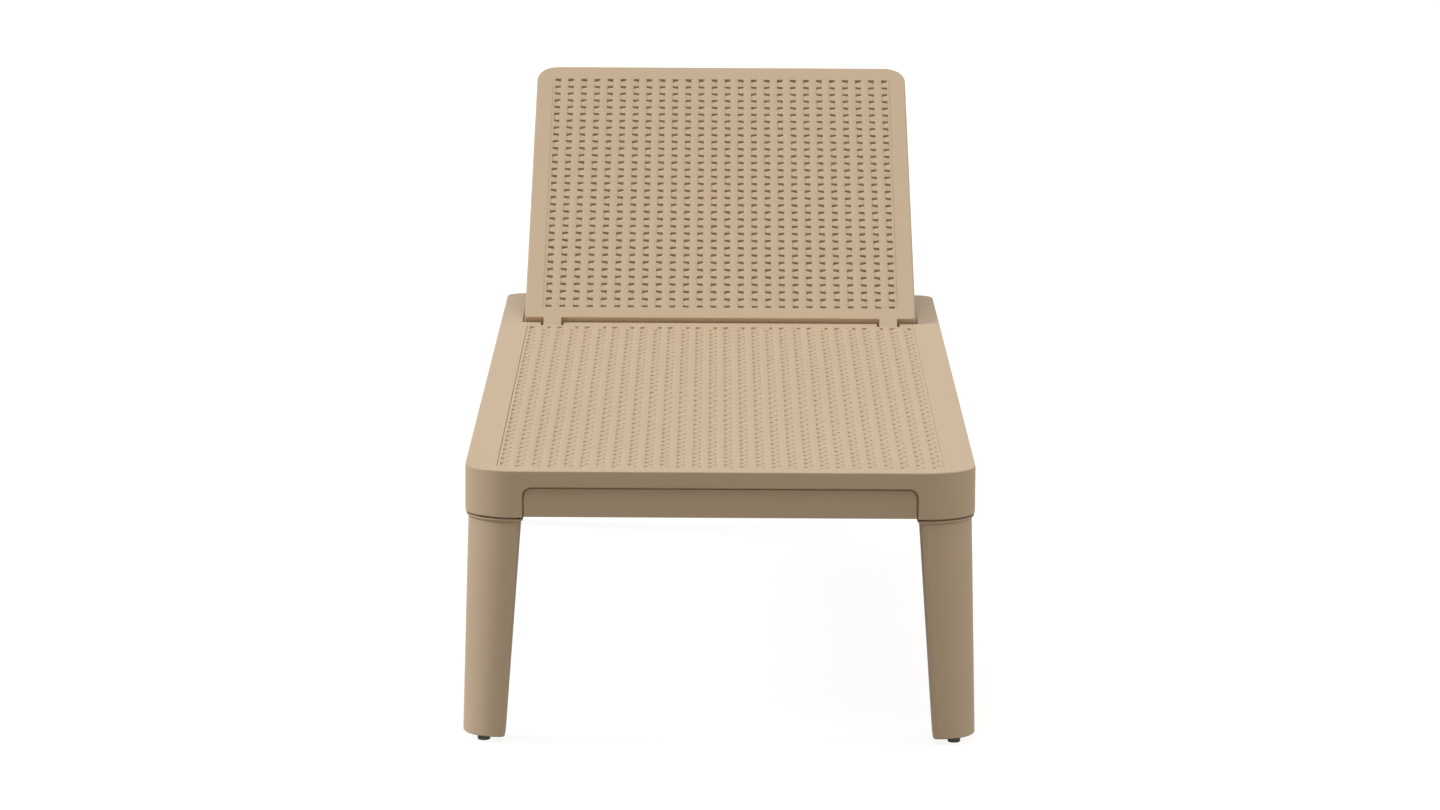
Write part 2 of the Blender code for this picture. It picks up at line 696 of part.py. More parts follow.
def make_leg(end, side_name, side):
    name = f"{end}_{side_name}_leg"
    height = LEG_TOP - LEG_FOOT
    spigot = socket_outline(end, side, SOCKET_FIT)
    collar_share = (COLLAR_HEIGHT + COLLAR_CHAMFER) / height
    foot_share = 1 - FOOT_CHAMFER / height
    leg = loft(name, [
        (-PLATE - SEAT_GAP, spigot),
        (LEG_TOP, spigot),
        (LEG_TOP, leg_outline(end, side, 0, COLLAR_OUTSET)),
        (LEG_TOP - COLLAR_HEIGHT, leg_outline(end, side, 0, COLLAR_OUTSET)),
        (LEG_TOP - COLLAR_HEIGHT - COLLAR_CHAMFER, leg_outline(end, side, collar_share, 0)),
        (LEG_FOOT + FOOT_CHAMFER, leg_outline(end, side, foot_share, 0)),
        (LEG_FOOT, leg_outline(end, side, 1, -FOOT_CHAMFER)),
    ])
    place(leg, deck, RESIN)
    mouth = socket_outline(end, side, SOCKET_FIT + LEG_WALL)
    floor_share = 1 - LEG_FLOOR / height
    cavity = loft(name + "_cavity", [
        (-PLATE + OVERRUN, mouth),
        (LEG_TOP, mouth),
        (LEG_FOOT + LEG_FLOOR, leg_outline(end, side, floor_share, -LEG_WALL)),
    ])
    cut(leg, place(cavity, deck))
    y, z = leg_screw_place(end)
    end_of_hole = socket_inner(end) + 2 * LEG_WALL
    hole = bore(name + "_hole", SCREW_RADIUS + SCREW_GAP, socket_inner(end) - OVERRUN, end_of_hole,
                [(side, y, z)], SCREW_SIDES)
    cut(leg, place(hole, deck))
    x, y = glide_place(end, side)
    cutter = turned_cutter(name + "_bore", GLIDE_STEM_RADIUS + SEAT_GAP,
                           LEG_FOOT - OVERRUN, LEG_FOOT + GLIDE_STEM_LENGTH + SEAT_GAP)
    cutter.location = (x, y, 0)
    cut(leg, place(cutter, deck))


def turned_cutter(name, radius, low, high):
    bm = bmesh.new()
    matrix = Matrix.Translation((0, 0, (low + high) / 2))
    bmesh.ops.create_cone(bm, cap_ends=True, segments=PIN_SIDES, radius1=radius, radius2=radius,
                          depth=high - low, matrix=matrix)
    return mesh_object(name, bm)


def glide_place(end, side):
    """The middle of a leg's foot."""
    across = DECK_WIDTH / 2 + LEG_FOOT_OUTSET - leg_width(end, 1) / 2
    from_edge = LEG_FOOT_SIZE / 2 - LEG_FOOT_OUTSET
    return side * across, from_edge if end == "front" else DECK_LENGTH - from_edge


def make_glide(end, side_name, side):
    top = GLIDE_HEIGHT + SEAT_GAP + GLIDE_STEM_LENGTH
    glide = turned(f"{end}_{side_name}_glide", [
        (0, top),
        (GLIDE_STEM_RADIUS, top),
        (GLIDE_STEM_RADIUS, GLIDE_HEIGHT),
        (GLIDE_RADIUS, GLIDE_HEIGHT),
        (GLIDE_RADIUS, GLIDE_CHAMFER),
        (GLIDE_RADIUS - GLIDE_CHAMFER, 0),
        (0, 0),
    ], PIN_SIDES)
    glide.location = (*glide_place(end, side), -DECK_HEIGHT)
    place(glide, deck, GREY_PLASTIC)


def make_screw(name, side, seat, y, z, length):
    """A pan-head screw that points outwards across the lounger; its head rests on a face at x = seat."""
    screw = turned(name, [
        (0, SCREW_HEAD - SCREW_SOCKET_DEPTH),
        (SCREW_SOCKET_RADIUS, SCREW_HEAD - SCREW_SOCKET_DEPTH),
        (SCREW_SOCKET_RADIUS, SCREW_HEAD),
        (SCREW_HEAD_RADIUS * HEAD_TOP_SHARE, SCREW_HEAD),
        (SCREW_HEAD_RADIUS, SCREW_HEAD / 2),
        (SCREW_HEAD_RADIUS, 0),
        (SCREW_RADIUS, 0),
        (SCREW_RADIUS, -length + SCREW_RADIUS),
        (SCREW_RADIUS / 2, -length),
        (0, -length),
    ], SCREW_SIDES)
    screw.location = (side * (seat - SEAT_GAP), y, z)
    screw.rotation_euler = (0, -side * math.pi / 2, 0)
    place(screw, deck, STEEL)


def make_legs():
    for end in ENDS:
        for side_name, side in SIDES:
            make_leg(end, side_name, side)
            make_glide(end, side_name, side)
            y, z = leg_screw_place(end)
            make_screw(f"{end}_{side_name}_leg_screw", side, screw_seat(end), y, z, LEG_SCREW_LENGTH)


# Hinge pins


def make_hinge(side_name, side):
    inner = LUG_CENTRE - LUG_WIDTH / 2 - SLOT_MARGIN - CHEEK_WALL - OVERLAP / 2
    outer = LUG_CENTRE + LUG_WIDTH / 2 + SLOT_MARGIN + CHEEK_WALL + OVERLAP / 2
    length = outer - inner + 2 * SEAT_GAP + CLIP_LENGTH + PIN_TAIL
    pin = turned(side_name + "_hinge_pin", [
        (0, PIN_HEAD),
        (PIN_HEAD_RADIUS * HEAD_TOP_SHARE, PIN_HEAD),
        (PIN_HEAD_RADIUS, PIN_HEAD / 2),
        (PIN_HEAD_RADIUS, 0),
        (PIN_RADIUS, 0),
        (PIN_RADIUS, -length + PIN_TAIL),
        (PIN_RADIUS - PIN_TAIL, -length),
        (0, -length),
    ], PIN_SIDES)
    pin.location = (side * (inner - SEAT_GAP), HINGE_Y, -HINGE_DROP)
    pin.rotation_euler = (0, -side * math.pi / 2, 0)
    place(pin, deck, STEEL)
    clip = turned(side_name + "_hinge_clip", [
        (PIN_RADIUS + SEAT_GAP, CLIP_LENGTH),
        (CLIP_RADIUS - PIN_TAIL, CLIP_LENGTH),
        (CLIP_RADIUS, CLIP_LENGTH - PIN_TAIL),
        (CLIP_RADIUS, 0),
        (PIN_RADIUS + SEAT_GAP, 0),
        (PIN_RADIUS + SEAT_GAP, CLIP_LENGTH),
    ], PIN_SIDES)
    clip.location = (side * (outer + SEAT_GAP), HINGE_Y, -HINGE_DROP)
    clip.rotation_euler = (0, side * math.pi / 2, 0)
    place(clip, deck, GREY_PLASTIC)


# Backrest


def back_half(along, wall=0):
    """Half of the panel's width at a distance along it from the hinge axis, less a wall."""
    share = (along - HINGE_TO_PANEL) / BACK_LENGTH
    return (BACK_FOOT_WIDTH + (BACK_HEAD_WIDTH - BACK_FOOT_WIDTH) * share) / 2 - wall


def back_outline(wall):
    low = HINGE_TO_PANEL + wall
    high = HINGE_TO_PANEL + BACK_LENGTH - wall
    return rounded([
        (-back_half(low, wall), low, BACK_FOOT_RADIUS - wall, SMALL_ARC_STEPS),
        (back_half(low, wall), low, BACK_FOOT_RADIUS - wall, SMALL_ARC_STEPS),
        (back_half(high, wall), high, BACK_RADIUS - wall, BIG_ARC_STEPS),
        (-back_half(high, wall), high, BACK_RADIUS - wall, BIG_ARC_STEPS),
    ])


def add_back_ribs(panel):
    """Cross ribs behind every fourth row of the weave's openings."""
    count = int((BACK_LENGTH - FIRST_BACK_RIB - RIM_WALL) / BACK_RIB_PITCH) + 1
    ribs = []
    for index in range(count):
        along = HINGE_TO_PANEL + FIRST_BACK_RIB + index * BACK_RIB_PITCH
        half = back_half(along, RIM_WALL) + OVERLAP
        ribs.append(((-half, along - RIB_WIDTH / 2, PANEL_UNDERSIDE - BACK_RIB_DEPTH),
                     (half, along + RIB_WIDTH / 2, PANEL_UNDERSIDE + OVERLAP)))
    join(panel, place(boxes("back_ribs", ribs), back_axis))


def bar_place(tilt):
    """Where the bail's bar lies in the panel's coordinates at this tilt of the panel above the deck."""
    along = (BAIL_SETBACK + BAIL_REACH) * math.cos(tilt) - BAIL_BELOW_HINGE * math.sin(tilt)
    height = (BAIL_REACH - BAIL_SETBACK) * math.sin(tilt) - BAIL_BELOW_HINGE * math.cos(tilt)
    return along, height


def rack_outline():
    """A rack from the side: its notches open downwards over the places where the bar can rest."""
    last, last_height = bar_place(NOTCH_TILTS[-1])
    first, first_height = bar_place(NOTCH_TILTS[0])
    clear = BAIL_RADIUS + RACK_GAP
    points = [
        (first + RACK_TAIL, PANEL_UNDERSIDE + OVERLAP),
        (last - RACK_TAIL, PANEL_UNDERSIDE + OVERLAP),
        (last - RACK_TAIL, last_height + clear),
    ]
    for tilt in reversed(NOTCH_TILTS):
        along, height = bar_place(tilt)
        tip = height + clear
        points += [
            (along - NOTCH_WIDTH / 2, tip),
            (along - NOTCH_WIDTH / 2 * NOTCH_TOP_SHARE, tip + NOTCH_HEIGHT),
            (along + NOTCH_WIDTH / 2 * NOTCH_TOP_SHARE, tip + NOTCH_HEIGHT),
            (along + NOTCH_WIDTH / 2, tip),
        ]
    points.append((first + RACK_TAIL, first_height + clear))
    return points


def add_racks(panel):
    bm = upright_solid("racks", rack_outline(), RACK_CENTRE - RACK_WIDTH / 2, RACK_CENTRE + RACK_WIDTH / 2)
    join(panel, place(mesh_object("racks", mirrored_pair(bm)), back_axis))


def add_lugs(panel):
    """Knuckles that reach into the slots of the seat's rear edge, bored for the pins."""
    inner = LUG_CENTRE - LUG_WIDTH / 2
    outer = LUG_CENTRE + LUG_WIDTH / 2
    axes = [(side, 0, 0) for _, side in SIDES]
    knuckles = bore("knuckles", KNUCKLE_RADIUS, inner, outer, axes, 2 * PIN_SIDES)
    join(panel, place(knuckles, back_axis))
    low = (inner, 0, -LUG_BELOW)
    high = (outer, HINGE_TO_PANEL + LUG_REACH, KNUCKLE_RADIUS)
    join(panel, place(boxes("lugs", [(low, high), mirrored(low, high)]), back_axis))
    holes = bore("lug_bores", PIN_RADIUS + RUNNING_GAP, inner - OVERRUN, outer + OVERRUN, axes)
    cut(panel, place(holes, back_axis))


def make_backrest():
    bm = flat_solid("backrest_panel", back_outline(0), PANEL_BACK, PANEL_FACE)
    round_top(bm, PANEL_FACE)
    panel = place(mesh_object("backrest_panel", bm), back_axis, RESIN)
    hollow = flat_solid("back_hollow", back_outline(RIM_WALL), PANEL_BACK - OVERRUN, PANEL_UNDERSIDE)
    cut(panel, place(mesh_object("back_hollow", hollow), back_axis))
    add_back_ribs(panel)
    add_racks(panel)
    add_lugs(panel)


# Support bail


def make_bail():
    """A bent tube: its ends turn outwards on the pivot axis, its arms reach back to the bar."""
    end = BAY_HALF - BAIL_END_GAP
    half = BAIL_HALF_WIDTH
    route = [(-end, 0), (-half, 0), (-half, BAIL_REACH), (half, BAIL_REACH), (half, 0), (end, 0)]
    points = [route[0]]
    for before, corner, after in zip(route, route[1:], route[2:]):
        here = Vector(corner)
        inward = (Vector(before) - here).normalized()
        onward = (Vector(after) - here).normalized()
        centre = here + (inward + onward) * BAIL_BEND
        for step in range(BEND_STEPS + 1):
            angle = math.pi / 2 * step / BEND_STEPS
            spoke = onward * math.cos(angle) + inward * math.sin(angle)
            points.append(centre - spoke * BAIL_BEND)
    points.append(route[-1])
    curve = bpy.data.curves.new("support_bail", "CURVE")
    curve.dimensions = "3D"
    curve.bevel_depth = BAIL_RADIUS
    curve.bevel_resolution = TUBE_RESOLUTION
    curve.use_fill_caps = True
    spline = curve.splines.new("POLY")
    spline.points.add(len(points) - 1)
    for point, (x, y) in zip(spline.points, points):
        point.co = (x, y, 0, 1)
    bail = bpy.data.objects.new("support_bail", curve)
    bail.parent = bail_axis
    parts.objects.link(bail)
    curve.materials.append(new_material("support_bail", PAINTED_TUBE))


def make_bracket(side_name, side):
    """A plate against the rail with a boss that the bail's turned end runs in."""
    wall = BAY_HALF - SEAT_GAP
    spans = ((wall - BRACKET_PLATE, wall) if side > 0 else (-wall, -wall + BRACKET_PLATE))
    bracket = boxes(side_name + "_bail_bracket", [(
        (spans[0], BAIL_Y - BRACKET_LENGTH / 2, BAIL_Z - BRACKET_HEIGHT / 2),
        (spans[1], BAIL_Y + BRACKET_LENGTH / 2, BAIL_Z + BRACKET_HEIGHT / 2),
    )])
    place(bracket, deck, GREY_PLASTIC)
    spot = [(side, BAIL_Y, BAIL_Z)]
    inner = BAY_HALF - BRACKET_BOSS
    boss = bore(side_name + "_boss", BRACKET_BOSS_RADIUS, inner, wall - BRACKET_PLATE / 2, spot,
                2 * SCREW_SIDES)
    join(bracket, place(boss, deck))
    hole = bore(side_name + "_boss_bore", BAIL_RADIUS + RUNNING_GAP, inner - OVERRUN, wall + OVERRUN, spot,
                2 * SCREW_SIDES)
    cut(bracket, place(hole, deck))
    for name, y, z in bracket_screw_places():
        seat = wall - BRACKET_PLATE
        screw_hole = bore(f"{side_name}_{name}_bracket_hole", SCREW_RADIUS + SCREW_GAP, seat - OVERRUN,
                          wall + OVERRUN, [(side, y, z)], SCREW_SIDES)
        cut(bracket, place(screw_hole, deck))
        make_screw(f"{side_name}_{name}_bracket_screw", side, seat, y, z, BRACKET_SCREW_LENGTH)


# Rear crossbar


def make_crossbar():
    """A channel open below between the rails, closed at its ends by the plates that are screwed on."""
    half = BAY_HALF - SEAT_GAP
    front = DECK_LENGTH - CROSSBAR_INSET - CROSSBAR_WIDTH
    rear = front + CROSSBAR_WIDTH
    foot = -CROSSBAR_DROP - CROSSBAR_HEIGHT
    bar = boxes("rear_crossbar", [((-half, front, foot), (half, rear, -CROSSBAR_DROP))])
    place(bar, deck, RESIN)
    wall = CROSSBAR_WALL
    channel = boxes("crossbar_channel", [((-half + wall, front + wall, foot - OVERRUN),
                                          (half - wall, rear - wall, -CROSSBAR_DROP - wall))])
    cut(bar, place(channel, deck))
    places = [(side, y, z) for _, side in SIDES for _, y, z in crossbar_screw_places()]
    holes = bore("crossbar_end_holes", SCREW_RADIUS + SCREW_GAP, half - wall - OVERRUN, half + OVERRUN,
                 places, SCREW_SIDES)
    cut(bar, place(holes, deck))
    for side_name, side in SIDES:
        for name, y, z in crossbar_screw_places():
            screw_name = f"{side_name}_{name}_crossbar_screw"
            make_screw(screw_name, side, half - wall, y, z, CROSSBAR_SCREW_LENGTH)


clear_scene()
parts = new_collection("sun_lounger")
cutters = new_collection("cutters")
cutters.hide_render = True
deck = new_axis("deck", (0, -MIDDLE_Y, DECK_HEIGHT))
back_axis = new_axis("backrest_axis", (0, HINGE_Y - MIDDLE_Y, DECK_HEIGHT - HINGE_DROP), BACK_ANGLE)
BAIL_ANGLE = BAIL_TURN_PER_TILT * BACK_ANGLE
bail_axis = new_axis("bail_axis", (0, BAIL_Y - MIDDLE_Y, DECK_HEIGHT + BAIL_Z), BAIL_ANGLE)
make_seat_frame()
make_legs()
make_backrest()
make_bail()
make_crossbar()
for SIDE_NAME, SIDE in SIDES:
    make_hinge(SIDE_NAME, SIDE)
    make_bracket(SIDE_NAME, SIDE)
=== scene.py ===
"""Looks of the adjustable sun lounger: moulded resin pieces with a woven pattern, over the CAD frame.

Metres, +Z up, in the CAD's frame: the foot end faces -Y. The seat's values are in deck coordinates (y back
from the foot edge, z up from the top face) and the backrest's are about its hinge axis (y along the panel).
"""

import json
import math

import bmesh
import bpy
from mathutils import Euler, Matrix, Vector


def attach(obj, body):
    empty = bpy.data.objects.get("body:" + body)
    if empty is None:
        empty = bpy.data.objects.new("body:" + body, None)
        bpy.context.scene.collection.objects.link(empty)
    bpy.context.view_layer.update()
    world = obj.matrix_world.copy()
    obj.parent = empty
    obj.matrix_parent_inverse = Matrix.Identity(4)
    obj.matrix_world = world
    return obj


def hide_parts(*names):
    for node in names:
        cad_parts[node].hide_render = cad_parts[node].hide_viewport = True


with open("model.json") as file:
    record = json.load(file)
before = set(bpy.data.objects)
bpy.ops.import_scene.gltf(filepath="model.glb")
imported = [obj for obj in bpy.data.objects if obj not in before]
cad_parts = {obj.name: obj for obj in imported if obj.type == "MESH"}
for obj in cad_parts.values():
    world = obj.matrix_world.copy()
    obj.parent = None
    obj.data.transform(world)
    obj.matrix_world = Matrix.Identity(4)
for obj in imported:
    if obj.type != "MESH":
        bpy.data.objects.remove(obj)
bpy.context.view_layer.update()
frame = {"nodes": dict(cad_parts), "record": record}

# Places in the CAD frame
DECK_TOP = Vector((0, -0.951153, 0.365))
DECK_HALF = 0.335
HINGE = Vector((0, 0.337847, 0.3495))
BACK_ANGLE = math.radians(28.7)
DECK_PLACE = Matrix.Translation(DECK_TOP)
BACK_PLACE = Matrix.Translation(HINGE) @ Matrix.Rotation(BACK_ANGLE, 4, "X")

# How near a point or face lies to what it is looked up by, and how far pieces and cutters overlap
WELD = 0.00001
NEAR = 0.0002
OVERLAP = 0.0005
MARGIN = 0.001
CUT_ABOVE = 0.005
FACING = 0.999
FLAT_ANGLE = math.radians(0.1)
SMOOTH_ANGLE = math.radians(35)

# Pattern that the seat and the backrest share: upright bands with short strands woven between them
COLUMN_PITCH = 0.02114
BAND_CROWN = 0.0004
PARTS_ACROSS = 4

# Seat field: its edges, its floor and the dish in its middle
FIELD_HALF = 0.295
FIELD_FOOT = 0.0285
FIELD_HEAD = 1.2607
FIELD_SINK = 0.0012
FIELD_DEEPER = 0.0014
DISH_START = 0.040
DISH_LENGTH = 0.660
DISH_DEPTH = 0.0083

# Seat weave; a strand's sink is how far its end dives on the left (-1) or on the right (1)
SEAT_COLUMNS = 28
SEAT_ROWS = 68
SEAT_ROW_PITCH = 0.01795
SEAT_FIRST_ROW = 0.0490
SEAT_LAST_ROW = 1.2495
SEAT_BAND_WIDTH = 0.0106
SEAT_WEAVE_HALF = (SEAT_COLUMNS * COLUMN_PITCH - SEAT_BAND_WIDTH) / 2
SEAT_ROOT = 0.0030
SEAT_CRACK = 0.0009
SEAT_SINKS = {-1: 0.0018, 1: 0.0014}
SEAT_STRAND = {
    "width": 0.0110,
    "length": SEAT_ROW_PITCH - SEAT_CRACK,
    "depth": SEAT_ROOT,
    "slant": 0.0018,
    "crown": 0.0007,
    "rows": 4,
}
SEAT_PARTS_ALONG = 40
SEAT_FOOT_GAP = 0.0026

# Strips beside the seat's outermost columns, with a gap to the field's side on the left and on the right
EDGE_GAPS = ((-1, 0.0009), (1, 0.0003))
EDGE_SHORTER = 0.0004

# Seam between the seat and the backrest's bay: where the seat's rear edge starts, and where its lip goes
SEAM = 1.301
SEAM_LIP = 1.3045
SEAM_HALF = 0.3056
SEAM_REACH = 0.0035
EDGE_SHARE = 0.4

# Recesses in the deck's front and sides, their rims and the line round their faces
RECESS_HALF = 0.260
RECESS_TOP = 0.0224
RECESS_FACE = 0.0028
RECESS_DEEPER = 0.0010
RECESS_DEPTH = RECESS_FACE + RECESS_DEEPER
RECESS_ROUND = 0.0018
RECESS_ROUND_PARTS = 3
RECESS_LINE = 0.0012
RECESS_LINE_DEPTH = 0.0030
LINE_LIFT = 0.00005
SIDE_RECESS_START = 0.074
SIDE_RECESS_END = 1.537
RIM_LOW = -0.0615
RIM_HIGH = -0.015
RIM_REACH = 0.0012
RIM_ANGLE = math.radians(50)
SKIRT_FOOT = -0.062

# Collar at the top of each leg: three levels, each in the CAD and here, and the level inside its lip
COLLAR_FOOT = (0.2962, 0.2950)
COLLAR_LOW = (0.2992, 0.2985)
COLLAR_HIGH = (0.3014, 0.3002)
COLLAR_INSIDE = 0.2970
COLLAR_WIDER = 0.0012

# Backrest field and its slits, each of which reaches from a row's line towards the foot and the head
BACK_FACE = 0.014
BACK_COLUMNS = 26
BACK_ROWS = 33
BACK_ROW_PITCH = 0.01898
BACK_FIRST_ROW = 0.0533
SLIT_FOOT = 0.0035
SLIT_HEAD = 0.0025
BACK_FIELD_HALF = 0.2688
BACK_FIELD_FOOT = BACK_FIRST_ROW - SLIT_FOOT
BACK_FIELD_HEAD = BACK_FIRST_ROW + (BACK_ROWS - 1) * BACK_ROW_PITCH + SLIT_HEAD
BACK_FIELD_DEPTH = 0.0045

# Backrest weave, and the deeper edge at its head that keeps light out of the last slits
BACK_BAND_WIDTH = 0.0120
BACK_BAND_DEPTH = 0.0057
BACK_SINK = 0.0010
BACK_STRAND = {
    "width": 0.0100,
    "length": 0.0130,
    "depth": 0.0056,
    "slant": 0.0009,
    "crown": 0.0004,
    "rows": 6,
}
HEAD_EDGE_LENGTH = 0.0040
HEAD_EDGE_LOW = -0.0065
HEAD_EDGE_HIGH = -0.0035

# Lines down the backrest's sides
BACK_LINE = 0.2725
BACK_LINE_HALF = 0.0004
BACK_LINE_DEPTH = 0.0009
BACK_LINE_FURTHER = 0.004

# Foot edge of the backrest: the stretch that moves, how far, and where its narrower corners begin
BACK_FOOT_START = 0.0255
BACK_FOOT_EDGE = 0.0325
BACK_FOOT_SHIFT = 0.0025
BACK_FOOT_CORNER = 0.290
BACK_FOOT_NARROWER = 0.0013

# Colours of the materials, two for each, between which they vary
RESIN_COLOURS = ((0.534, 0.396, 0.254), (0.563, 0.421, 0.273))
TUBE_COLOURS = ((0.50, 0.38, 0.25), (0.54, 0.41, 0.27))
PLASTIC_COLOURS = ((0.065, 0.063, 0.060), (0.085, 0.082, 0.079))
RUBBER_COLOURS = ((0.060, 0.058, 0.057), (0.080, 0.077, 0.075))
STEEL_COLOURS = ((0.50, 0.50, 0.51), (0.62, 0.62, 0.62))

# Roughness of the materials (two values each), strength of their grain, and noises (scale and detail)
RESIN_ROUGHNESS = (0.54, 0.68)
STEEL_ROUGHNESS = (0.25, 0.42)
RESIN_GRAIN = 0.10
TUBE_GRAIN = 0.25
RUBBER_GRAIN = 0.3
PIT_DEPTH = 0.0004
CLOUDS = (9, 4)
PITS = (1400, 3)
TURNING_MARKS = (700, 5)

# Floor and world
FLOOR_HALF = 60
FLOOR_COLOUR = (0.175, 0.160, 0.140, 1)
FLOOR_ROUGHNESS = 0.9
FLOOR_GLOW = 0.88
WORLD_LIGHT = 0.15
WHITE = (1, 1, 1, 1)

# Lights: share of full light, then elevation, azimuth from the foot end and breadth in degrees, then tint
COOL = (0.98, 1.0, 1.04)
WARM = (1.03, 1.0, 0.94)
LIGHTS = {
    "left_softbox": (0.70, 30, -98, 20, COOL),
    "right_softbox": (0.26, 25, 93, 30, WARM),
    "top_softbox": (0.35, 77, 0, 55, COOL),
    "front_softbox": (0.13, 12, 0, 30, WARM),
}

# Camera, fitted to the photograph: millimetres for the sensor and the lens, metres and degrees for the rest
SENSOR_WIDTH = 36
LENS = 142.37
FARTHEST = 200
CAMERA_PLACE = (-0.00938, -8.29343, 1.67238)
CAMERA_TURNS = (("Z", -0.06478), ("X", 90 - 9.42279), ("Z", 0.32108))


# Mesh helpers


def merged_copy(node):
    """A CAD node's mesh with its loose triangles merged and its flat faces made whole."""
    bm = bmesh.new()
    bm.from_mesh(frame["nodes"][node].data)
    bmesh.ops.remove_doubles(bm, verts=bm.verts, dist=WELD)
    bmesh.ops.dissolve_limit(bm, angle_limit=FLAT_ANGLE, verts=bm.verts, edges=bm.edges)
    return bm


def mesh_object(name, bm):
    """A new object in the scene, with all that a bmesh holds."""
    mesh = bpy.data.meshes.new(name)
    bm.to_mesh(mesh)
    bm.free()
    thing = bpy.data.objects.new(name, mesh)
    bpy.context.scene.collection.objects.link(thing)
    return thing


def put_in_order(mesh):
    """Sorts a mesh's points and faces by place, as bmesh operators leave them in another order each run."""
    bm = bmesh.new()
    bm.from_mesh(mesh)
    places = {point: tuple(point.co) for point in bm.verts}
    middles = {face: tuple(face.calc_center_median()) for face in bm.faces}
    for elements, place in ((bm.verts, places), (bm.faces, middles)):
        ranks = {element: rank for rank, element in enumerate(sorted(elements, key=place.get))}
        elements.sort(key=ranks.get)
    bm.to_mesh(mesh)
    bm.free()


def finish_piece(thing, body, material, nodes=()):
    """Smooths a piece, gives it its material and ties it to its CAD body.

    Normals that came with the CAD's mesh go first, because sharp edges would be found wrongly with them.
    """
    imported = thing.data.attributes.get("custom_normal")
    if imported:
        thing.data.attributes.remove(imported)
    put_in_order(thing.data)
    thing.data.materials.clear()
    thing.data.materials.append(material)
    thing.data.shade_smooth()
    thing.data.set_sharp_from_angle(angle=SMOOTH_ANGLE)
    flat = thing.modifiers.new("flat_faces", "WEIGHTED_NORMAL")
    flat.keep_sharp = True
    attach(thing, body)
    if nodes:
        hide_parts(*nodes)


def points_of(geometry):
    """The points among what a bmesh operator returns."""
    return [item for item in geometry if isinstance(item, bmesh.types.BMVert)]


def repeat(bm, count, step):
    """Adds copies of all that a bmesh holds, each a step further on."""
    first = bm.verts[:] + bm.edges[:] + bm.faces[:]
    for index in range(1, count):
        copy = bmesh.ops.duplicate(bm, geom=first)["geom"]
        bmesh.ops.translate(bm, verts=points_of(copy), vec=Vector(step) * index)


def add_bmesh(target, source, place):
    """Moves all of one bmesh into another, shifted to its place."""
    bmesh.ops.translate(source, verts=source.verts, vec=place)
    mesh = bpy.data.meshes.new("part")
    source.to_mesh(mesh)
    source.free()
    target.from_mesh(mesh)
    bpy.data.meshes.remove(mesh)


def long_box(bm, low, high):
    """Adds a box between two corners."""
    middle = (Vector(low) + Vector(high)) / 2
    size = Vector(high) - Vector(low)
    matrix = Matrix.Translation(middle) @ Matrix.Diagonal((*size, 1))
    bmesh.ops.create_cube(bm, size=1, matrix=matrix)


def cut(thing, low_high_pairs, place):
    """Cuts boxes, given in local coordinates, out of a piece."""
    bm = bmesh.new()
    for low, high in low_high_pairs:
        long_box(bm, low, high)
    bmesh.ops.transform(bm, matrix=place, verts=bm.verts)
    cutter = mesh_object("cutter", bm)
    modifier = thing.modifiers.new("cut", "BOOLEAN")
    modifier.operation = "DIFFERENCE"
    modifier.object = cutter
    graph = bpy.context.evaluated_depsgraph_get()
    mesh = bpy.data.meshes.new_from_object(thing.evaluated_get(graph))
    thing.modifiers.clear()
    thing.data = mesh
    bpy.data.objects.remove(cutter)


# Parts of a weave


def block(width, length, depth, columns, rows, plain_floor=True):
    """A flat block round the origin with its upper face at z = 0, and that face's points.

    A block that is bent afterwards keeps its floor in small faces.
    """
    bm = bmesh.new()
    matrix = Matrix.Translation((0, 0, -depth)) @ Matrix.Diagonal((width / 2, length / 2, 1, 1))
    bmesh.ops.create_grid(bm, x_segments=columns, y_segments=rows, size=1, matrix=matrix)
    floor = bm.faces[:]
    top = points_of(bmesh.ops.extrude_face_region(bm, geom=floor)["geom"])
    bmesh.ops.translate(bm, verts=top, vec=(0, 0, depth))
    if plain_floor:
        bmesh.ops.dissolve_faces(bm, faces=floor)
    bmesh.ops.recalc_face_normals(bm, faces=bm.faces)
    return bm, top


def strand(side, sink, width, length, depth, slant, crown, rows):
    """One short strand between two bands: its narrower end dives under the band on one side."""
    bm, top = block(width, length, depth, PARTS_ACROSS, rows)
    for point in bm.verts:
        across = 2 * point.co.x / width
        point.co.y *= 1 - side * across * slant / (length / 2)
    for point in top:
        across = 2 * point.co.x / width
        along = 2 * point.co.y / length
        dive = (1 + side * across) / 2
        point.co.z -= sink * dive + crown * min(abs(along), 1) ** 3
    return bm


def strand_pair(shape, sinks, first_side, first_middle, pitch):
    """Two strands, one after the other, that dive to opposite sides."""
    pair = bmesh.new()
    for row, side in enumerate((first_side, -first_side)):
        add_bmesh(pair, strand(side, sinks[side], **shape), (0, first_middle + row * pitch, 0))
    return pair


def add_columns(weave, count, rows, pitch, pair_for):
    """Fills a field with columns of strands, made of one pair in even columns and another in odd ones."""
    for odd in (False, True):
        columns = pair_for(odd)
        repeat(columns, rows // 2, (0, 2 * pitch, 0))
        repeat(columns, count // 2, (2 * COLUMN_PITCH, 0, 0))
        add_bmesh(weave, columns, ((-(count - 1) / 2 + odd) * COLUMN_PITCH, 0, 0))


def add_bands(weave, count, width, foot, head, depth, rows, plain_floor):
    """Adds the upright bands between a field's columns, their edges a little lower than their middles."""
    bands, top = block(width, head - foot, depth, PARTS_ACROSS, rows, plain_floor)
    for point in top:
        across = 2 * point.co.x / width
        point.co.z -= BAND_CROWN * across ** 4
    repeat(bands, count - 1, (COLUMN_PITCH, 0, 0))
    add_bmesh(weave, bands, (-(count / 2 - 1) * COLUMN_PITCH, (foot + head) / 2, 0))


# Materials


